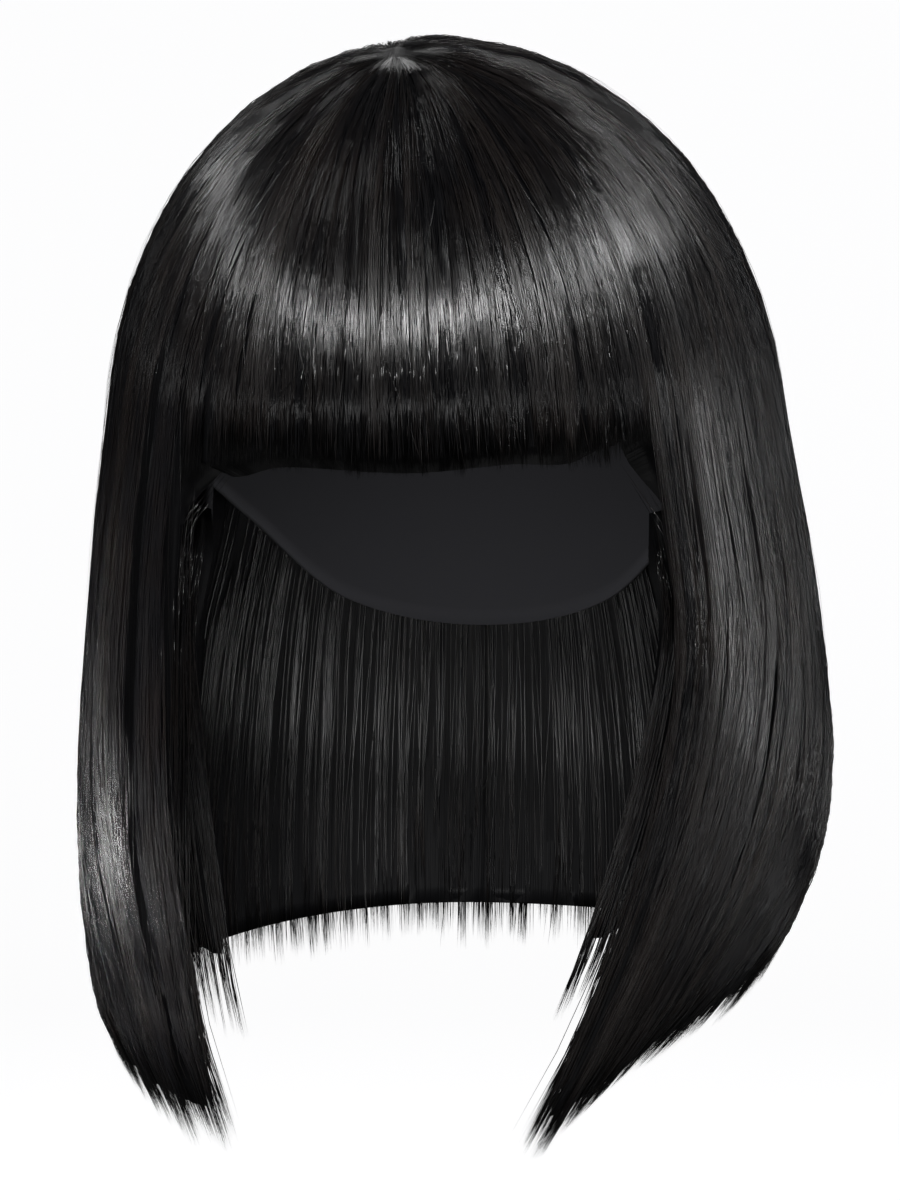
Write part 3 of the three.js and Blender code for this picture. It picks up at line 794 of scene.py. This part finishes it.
def body_material(colours):
    """Dense hair seen between the strands: fine ridges along the hair and a highlight stretched across them."""
    material, tree, shader, add = new_material("hair_body")
    uv = add("ShaderNodeUVMap", uv_map="Hair")
    stretched = add("ShaderNodeMapping", {"Vector": uv.outputs["UV"]})
    stretched.inputs["Scale"].default_value = (2600.0, 14.0, 1.0)
    fine = add("ShaderNodeTexNoise", {"Vector": stretched.outputs["Vector"]}, in_Scale=1.0, in_Detail=3.0)
    bump = add("ShaderNodeBump", {"Height": fine.outputs["Fac"]}, in_Strength=0.8, in_Distance=0.0004)
    tree.links.new(bump.outputs["Normal"], shader.inputs["Normal"])
    tint = add("ShaderNodeMix", {"Factor": fine.outputs["Fac"]}, data_type="RGBA")
    tint.inputs["A"].default_value = (*(0.5 * c for c in colours.fibre), 1)
    tint.inputs["B"].default_value = (*colours.fibre, 1)
    tree.links.new(tint.outputs["Result"], shader.inputs["Base Color"])
    shader.inputs["Base Color"].default_value = (*colours.fibre, 1)
    shader.inputs["Roughness"].default_value = 0.5
    shader.inputs["Specular IOR Level"].default_value = 0.12
    return material


def cap_material(colours):
    """Matt stretch net with a knitted mesh, sewn tracks every 12 mm that carry the hair, and a bound rim. Its colour
    carries painted shade in the low parts and painted light on the raised tracks.
    """
    material, tree, shader, add = new_material("cap_net")
    uv = add("ShaderNodeUVMap", uv_map="Hair")
    cells = add("ShaderNodeTexVoronoi", {"Vector": uv.outputs["UV"]}, feature="DISTANCE_TO_EDGE")
    cells.inputs["Scale"].default_value = 620.0
    yarn = add("ShaderNodeMapRange", {"Value": cells.outputs["Distance"]}, in_1=0.0, in_2=0.28, in_3=1.0, in_4=0.0)
    tracks = add("ShaderNodeTexWave", {"Vector": uv.outputs["UV"]}, bands_direction="Y", wave_profile="SIN")
    tracks.inputs["Scale"].default_value = 26.0
    ridge = add("ShaderNodeMapRange", {"Value": tracks.outputs["Fac"]}, in_1=0.80, in_2=1.0, in_3=0.0, in_4=2.0)
    height = add("ShaderNodeMath", {0: yarn.outputs["Result"], 1: ridge.outputs["Result"]}, operation="ADD")
    bump = add("ShaderNodeBump", {"Height": height.outputs[0]}, in_Strength=1.0, in_Distance=0.0004)
    tree.links.new(bump.outputs["Normal"], shader.inputs["Normal"])
    # Painted shade and light: the colour follows the bump's height. It falls to 35% in the cells between the yarns and
    # in the low parts between the tracks, and stays full on the yarns and the raised tracks.
    tint = add("ShaderNodeMix", {"Factor": height.outputs[0]}, data_type="RGBA")
    tint.inputs["A"].default_value = (*(0.35 * c for c in colours.net), 1)
    tint.inputs["B"].default_value = (*colours.net, 1)
    tree.links.new(tint.outputs["Result"], shader.inputs["Base Color"])
    shader.inputs["Base Color"].default_value = (*colours.net, 1)
    shader.inputs["Roughness"].default_value = 0.85
    return material


def paper_material(colour):
    """Backdrop paper: bright as a burnt-out studio white where it is seen, and dim in what it throws back."""
    material, tree, shader, add = new_material("backdrop_paper")
    output = tree.nodes["Material Output"]
    ray = add("ShaderNodeLightPath")
    seen = add("ShaderNodeBsdfDiffuse", in_Color=(*(0.3 * c for c in colour), 1))
    glow = add("ShaderNodeEmission", in_Color=(*colour, 1), in_Strength=1.0)
    both = add("ShaderNodeAddShader", {0: seen.outputs[0], 1: glow.outputs[0]})
    dim = add("ShaderNodeBsdfDiffuse", in_Color=(*(0.12 * c for c in colour), 1))
    way = add("ShaderNodeMixShader", {0: ray.outputs["Is Camera Ray"], 1: dim.outputs[0], 2: both.outputs[0]})
    tree.links.new(way.outputs[0], output.inputs["Surface"])
    tree.nodes.remove(shader)
    return material


def studio_world(strength, dim):
    """A white surround where it is seen, and a dim one for everything else."""
    world = bpy.data.worlds.new("studio")
    world.use_nodes = True
    tree = world.node_tree
    ray = tree.nodes.new("ShaderNodeLightPath")
    level = tree.nodes.new("ShaderNodeMapRange")
    level.inputs["To Min"].default_value = dim
    level.inputs["To Max"].default_value = strength
    tree.links.new(ray.outputs["Is Camera Ray"], level.inputs["Value"])
    tree.nodes["Background"].inputs["Color"].default_value = (1, 1, 1, 1)
    tree.links.new(level.outputs["Result"], tree.nodes["Background"].inputs["Strength"])
    return world


def shared_material(make, name, colours):
    """The material of that name, made once."""
    return bpy.data.materials.get(name) or make(colours)


# Settings


def length(name, description, default, precision=4, **limits):
    """A property in metres."""
    return FloatProperty(
        name=name, description=description, default=default, precision=precision, unit="LENGTH", **limits
    )


class WIG_PG_strands(bpy.types.PropertyGroup):
    """Sizes of the strands and of the hair's body under them."""

    strand_width: length(
        "Strand width", "Thickness of a strand, which stands for a few fibres", 0.00042, precision=5, min=0.0001
    )
    wisp_width: length("Wisp width", "Width of a wisp of strands at the widest part", 0.0032)
    wisp_drift: length("Wisp drift", "How far a wisp wanders across", 0.0012)
    wisp_swell: length("Wisp swell", "How far a wisp stands in and out", 0.00034, precision=5)
    strand_drift: length("Strand drift", "How far a strand wanders across", 0.0010)
    strand_swell: length("Strand swell", "How far a strand stands in and out", 0.00012, precision=5)
    lock_depth: length("Lock depth", "Depth of the grooves between broad locks", 0.0013)
    fringe_ragged: length("Fringe teeth", "How uneven the fringe's hem is", 0.0016)
    curtain_ragged: length("Curtain teeth", "How uneven the curtain's hem is", 0.0055)
    body_sink: length("Body sink", "How far the body lies under the strands", 0.0012)
    edge_recess: FloatProperty(
        name="Edge recess", description="Degrees that the body stays back from the curtain's front edges", default=4.5
    )
    body_lift: length("Body lift", "How far the body ends above the hem", 0.012)
    fringe_count: IntProperty(name="Fringe strands", description="Strands over the fringe", default=2400, min=1)
    side_count: IntProperty(name="Side strands", description="Strands over each side", default=2250, min=1)
    back_count: IntProperty(name="Back strands", description="Strands over each half of the back", default=1560, min=1)
    inside_count: IntProperty(name="Inside strands", description="Strands inside each quarter", default=360, min=1)
    inner_count: IntProperty(name="Inner strands", description="Strands in each inner layer", default=420, min=1)
    stray_count: IntProperty(name="Stray strands", description="Loose strands over the wig", default=170, min=1)


class WIG_PG_colours(bpy.types.PropertyGroup):
    """Colours and gloss of the hair and the cap."""

    fibre: FloatVectorProperty(
        name="Fibre", description="Colour of the hair", subtype="COLOR", size=3, default=(0.0028, 0.0028, 0.0034),
        min=0, max=1,
    )
    glint: FloatVectorProperty(
        name="Glint", description="Colour of the warmest strands", subtype="COLOR", size=3,
        default=(0.0085, 0.0060, 0.0050), min=0, max=1,
    )
    net: FloatVectorProperty(
        name="Net", description="Colour of the cap's net", subtype="COLOR", size=3, default=(0.050, 0.049, 0.051),
        min=0, max=1,
    )
    roughness: FloatProperty(
        name="Roughness", description="Roughness of the fibres", subtype="FACTOR", default=0.16, min=0, max=1
    )
    shine: FloatProperty(
        name="Shine", description="Strength of the fibres' highlight", subtype="FACTOR", default=0.5, min=0, max=1
    )


class WIG_PG_studio(bpy.types.PropertyGroup):
    """The studio round the wig."""

    floor_depth: FloatProperty(
        name="Floor", description="Depth of the floor below the wig's top", default=0.62, unit="LENGTH"
    )
    azimuth: FloatProperty(
        name="Azimuth", description="The camera's turn to the right", subtype="ANGLE", default=math.radians(6.0)
    )
    elevation: FloatProperty(
        name="Elevation", description="The camera's height", subtype="ANGLE", default=math.radians(5.5)
    )
    distance: FloatProperty(
        name="Distance", description="From the camera to the wig's middle", default=1.65, unit="LENGTH"
    )
    target_depth: FloatProperty(
        name="Target", description="Depth of the point that the camera looks at", default=0.1432, unit="LENGTH",
        precision=4,
    )
    lens: FloatProperty(name="Lens", description="Focal length in mm for a frame 36 mm high", default=163.44)
    brightness: FloatProperty(name="Brightness", description="Strength of all the lights together", default=1.0, min=0)
    backdrop: FloatVectorProperty(
        name="Backdrop", description="Colour of the floor and backdrop", subtype="COLOR", size=3,
        default=(0.92, 0.92, 0.925), min=0, max=1,
    )


# Lights: the point each is aimed at and where it stands round that point, its size and power, the angle that a grid
# narrows it to, and the one piece that it lights where it is flagged off from the rest
AIMS = {
    "middle": (0.0, 0.0, -0.1432),
    "left_lock": (-0.086, -0.058, -0.238),
    "right_lock": (0.072, -0.062, -0.235),
    "right_side": (0.085, -0.060, -0.125),
    "hollow": (0.0, 0.05, -0.13),
}
LIGHT_COLUMNS = ("aim", "azimuth", "elevation", "distance", "width", "height", "power", "grid", "only")
LIGHTS = {
    "key": ("middle", 8, 33, 1.6, 0.9, 0.18, 30.0, HALF_TURN, None),
    "front_low": ("middle", -4, -3, 1.6, 0.7, 0.24, 3.0, HALF_TURN, None),
    "strip_left": ("left_lock", -95, 1, 0.95, 0.12, 0.12, 0.016, 11, "side_left_strands"),
    "chin_left": ("left_lock", -10, 27, 0.95, 0.34, 0.2, 0.45, 14, "side_left_strands"),
    "chin_right": ("right_lock", 12, 4, 1.6, 0.3, 0.3, 4.0, HALF_TURN, "side_right_strands"),
    "strip_right": ("right_side", 92, -3, 1.4, 0.12, 0.5, 5.0, HALF_TURN, None),
    "right_high": ("middle", 82, 40, 1.6, 0.4, 0.24, 6.5, HALF_TURN, None),
    "left_high": ("middle", -102, 42, 1.6, 0.4, 0.3, 4.0, HALF_TURN, None),
    "rear_left": ("middle", -162, 26, 1.6, 0.9, 0.3, 2.4, HALF_TURN, None),
    "rear_right": ("middle", 162, 26, 1.6, 0.9, 0.3, 2.4, HALF_TURN, None),
    "inside": ("hollow", 0, -45, 0.085, 0.05, 0.03, 0.06, HALF_TURN, None),
}


# Operators


class WIG_OT_cap(bpy.types.Operator):
    """Makes the sewn stretch cap"""

    bl_idname = "wig.cap"
    bl_label = "Cap"

    def execute(self, context):
        points, faces, uv = cap_body()
        material = shared_material(cap_material, "cap_net", context.scene.wig_colours)
        cap = mesh_object("cap_shell", points, faces, material, uv)
        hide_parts("cap")
        return {"FINISHED"}


class WIG_OT_bodies(bpy.types.Operator):
    """Makes the bodies of hair that the strands lie on"""

    bl_idname = "wig.bodies"
    bl_label = "Bodies of hair"

    def execute(self, context):
        settings = context.scene.wig_strands
        material = shared_material(body_material, "hair_body", context.scene.wig_colours)
        made = {name: panel_body(name, settings) for name in PANELS}
        made |= {name: inner_body(name) for name in INNER_LAYERS}
        points, faces = whorl_body(settings)
        made["whorl"] = (points, faces, points[:, :2].copy())
        for name, (points, faces, uv) in made.items():
            body = mesh_object(name + "_body", points, faces, material, uv)
            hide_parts(name)
        return {"FINISHED"}


class WIG_OT_panels(bpy.types.Operator):
    """Combs the strands over the fringe, the sides and the back"""

    bl_idname = "wig.panels"
    bl_label = "Outer strands"

    def execute(self, context):
        settings = context.scene.wig_strands
        material = shared_material(strand_material, "hair_fibre", context.scene.wig_colours)
        for seed, name in enumerate(PANELS, 11):
            count = getattr(settings, name.split("_")[0] + "_count")
            piece = write_strands(name + "_strands", comb_panel(name, count, seed, settings), material)
        return {"FINISHED"}


class WIG_OT_inside(bpy.types.Operator):
    """Combs the strands inside the curtain, in its thickness and in the inner layers"""

    bl_idname = "wig.inside"
    bl_label = "Inside strands"

    def execute(self, context):
        settings = context.scene.wig_strands
        material = shared_material(strand_material, "hair_fibre", context.scene.wig_colours)
        groups = []
        for seed, name in enumerate([n for n in PANELS if n != "fringe"], 31):
            groups += comb_thickness(name, settings.inside_count, seed, settings)
        write_strands("inside_strands", groups, material)
        for seed, name in enumerate(INNER_LAYERS, 51):
            piece = write_strands(name + "_strands", comb_inner(name, settings.inner_count, seed, settings), material)
        return {"FINISHED"}


class WIG_OT_strays(bpy.types.Operator):
    """Adds the stray strands"""

    bl_idname = "wig.strays"
    bl_label = "Stray strands"

    def execute(self, context):
        settings = context.scene.wig_strands
        material = shared_material(strand_material, "hair_fibre", context.scene.wig_colours)
        piece = write_strands("stray_strands", comb_strays(settings.stray_count, 71, settings), material)
        return {"FINISHED"}


def around(azimuth, elevation, distance):
    """A direction from the front, towards +X by the azimuth and up by the elevation, times the distance."""
    level = math.cos(elevation) * distance
    return Vector((level * math.sin(azimuth), -level * math.cos(azimuth), math.sin(elevation) * distance))


def backdrop_mesh(depth):
    """The floor and backdrop: one sheet whose section goes along the floor, up a quarter circle and up a wall."""
    radius, reach, height = 1.2, 3.2, 4.0
    turn = np.linspace(0, np.pi / 2, 24)
    y = np.concatenate([[-6.0, 0.0], reach - radius + radius * np.sin(turn), [reach]])
    z = np.concatenate([[0.0, 0.0], radius * (1 - np.cos(turn)), [height]]) - depth
    x = np.array([-6.0, 6.0])
    grid = np.stack([np.broadcast_to(x[:, None], (2, len(y))), np.tile(y, (2, 1)), np.tile(z, (2, 1))], -1)
    index = np.arange(2 * len(y)).reshape(2, len(y))
    faces = np.stack([index[0, :-1], index[1, :-1], index[1, 1:], index[0, 1:]], -1)
    return grid.reshape(-1, 3), faces


class WIG_OT_stage(bpy.types.Operator):
    """Sets the floor, the backdrop, the lights and the camera"""

    bl_idname = "wig.stage"
    bl_label = "Stage"

    def execute(self, context):
        scene = context.scene
        studio = scene.wig_studio
        target = Vector((0, 0, -studio.target_depth))
        points, faces = backdrop_mesh(studio.floor_depth)
        mesh = bpy.data.meshes.new("backdrop")
        mesh.from_pydata(points.tolist(), [], faces.tolist())
        mesh.polygons.foreach_set("use_smooth", np.ones(len(faces), bool))
        mesh.materials.append(paper_material(studio.backdrop))
        backdrop = bpy.data.objects.new("backdrop", mesh)
        scene.collection.objects.link(backdrop)

        for name, row in LIGHTS.items():
            spec = dict(zip(LIGHT_COLUMNS, row))
            light = bpy.data.lights.new(name, "AREA")
            light.shape = "RECTANGLE"
            light.size, light.size_y = spec["width"], spec["height"]
            light.energy = spec["power"] * studio.brightness
            light.spread = math.radians(spec["grid"])
            lamp = bpy.data.objects.new(name, light)
            way = around(math.radians(spec["azimuth"]), math.radians(spec["elevation"]), spec["distance"])
            lamp.location = Vector(AIMS[spec["aim"]]) + way
            lamp.rotation_euler = way.to_track_quat("Z", "Y").to_euler()
            scene.collection.objects.link(lamp)
            if spec["only"]:
                lit = bpy.data.collections.new(name + "_lights")
                lit.objects.link(bpy.data.objects[spec["only"]])
                lamp.light_linking.receiver_collection = lit

        scene.world = studio_world(0.95, 0.05)
        scene.view_settings.view_transform = "Standard"

        camera = bpy.data.cameras.new("camera")
        camera.sensor_fit = "VERTICAL"
        camera.sensor_height = 36.0
        camera.lens = studio.lens
        camera.clip_start, camera.clip_end = 0.05, 50.0
        eye = bpy.data.objects.new("camera", camera)
        way = around(studio.azimuth, studio.elevation, studio.distance)
        eye.location = target + way
        eye.rotation_euler = way.to_track_quat("Z", "Y").to_euler()
        scene.collection.objects.link(eye)
        scene.camera = eye
        return {"FINISHED"}


class WIG_PT_panel(bpy.types.Panel):
    """Shows the wig's settings and the buttons that make its pieces"""

    bl_idname = "WIG_PT_panel"
    bl_label = "Bob wig"
    bl_space_type = "VIEW_3D"
    bl_region_type = "UI"
    bl_category = "Wig"

    def draw(self, context):
        for group in (context.scene.wig_strands, context.scene.wig_colours, context.scene.wig_studio):
            box = self.layout.box()
            for name in group.__annotations__:
                box.prop(group, name)
        for operator in OPERATORS:
            self.layout.operator(operator.bl_idname)


GROUPS = {"wig_strands": WIG_PG_strands, "wig_colours": WIG_PG_colours, "wig_studio": WIG_PG_studio}
OPERATORS = (WIG_OT_cap, WIG_OT_bodies, WIG_OT_panels, WIG_OT_inside, WIG_OT_strays, WIG_OT_stage)


def register():
    for name, group in GROUPS.items():
        bpy.utils.register_class(group)
        setattr(bpy.types.Scene, name, PointerProperty(type=group))
    for item in (*OPERATORS, WIG_PT_panel):
        bpy.utils.register_class(item)


def unregister():
    for item in (WIG_PT_panel, *reversed(OPERATORS)):
        bpy.utils.unregister_class(item)
    for name, group in GROUPS.items():
        delattr(bpy.types.Scene, name)
        bpy.utils.unregister_class(group)


def main():
    register()
    bpy.ops.wig.cap()
    bpy.ops.wig.bodies()
    bpy.ops.wig.panels()
    bpy.ops.wig.inside()
    bpy.ops.wig.strays()
    bpy.ops.wig.stage()


if __name__ == "__main__":
    main()
